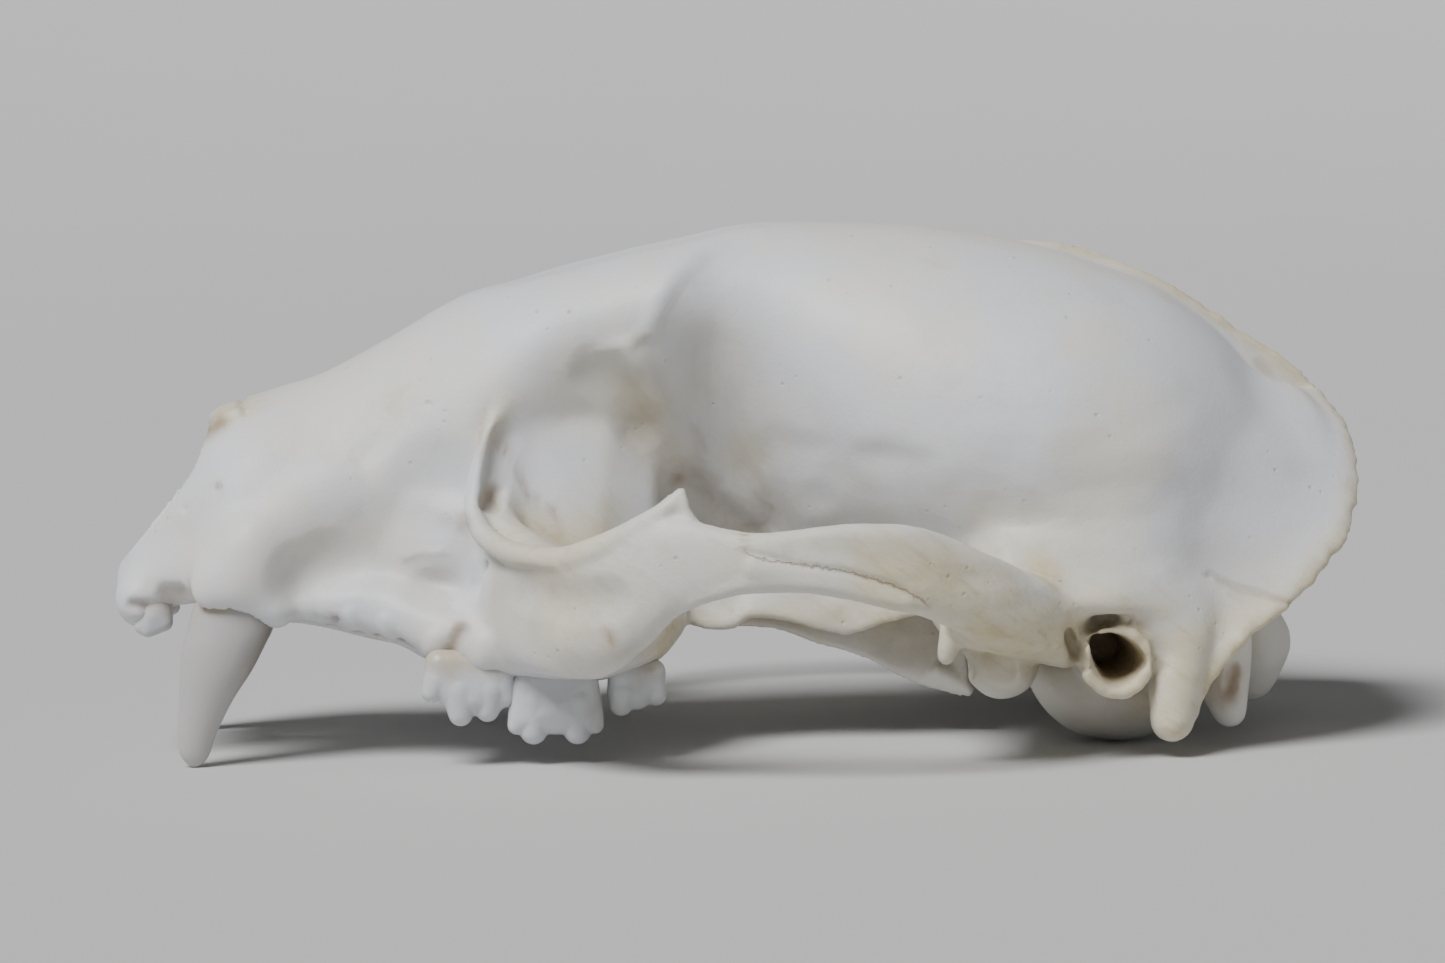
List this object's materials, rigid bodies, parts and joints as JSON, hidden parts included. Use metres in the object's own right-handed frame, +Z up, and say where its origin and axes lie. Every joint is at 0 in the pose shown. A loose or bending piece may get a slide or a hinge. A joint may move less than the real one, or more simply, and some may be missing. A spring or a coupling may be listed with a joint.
{
  "type": "raccoon skull",
  "caption": "Life-size raccoon skull without its lower jaw, bleached bone with canines and cheek teeth, resting on canines and ear bullae.",
  "frame": {"origin": "on the floor, under the middle of the skull's length and width", "axes": "-X towards the nose tip, +X towards the back of the head, -Y to the animal's left side, +Z up"},
  "size_m": [0.1164, 0.0744, 0.0485],
  "materials": {
    "bone": "dry bleached bone, matt with a faint sheen",
    "arch_bone": "dry bone with a cream tone",
    "bulla_bone": "smooth thin bone",
    "tooth": "smooth enamel with a soft gloss"
  },
  "bodies": {
    "root": {"cranium": "bone", "rostrum": "bone", "zygomatic_arch_left": "arch_bone", "zygomatic_arch_right": "arch_bone", "auditory_bulla_left": "bulla_bone", "auditory_bulla_right": "bulla_bone", "canine_left": "tooth", "canine_right": "tooth"}
  },
  "joints": []
}
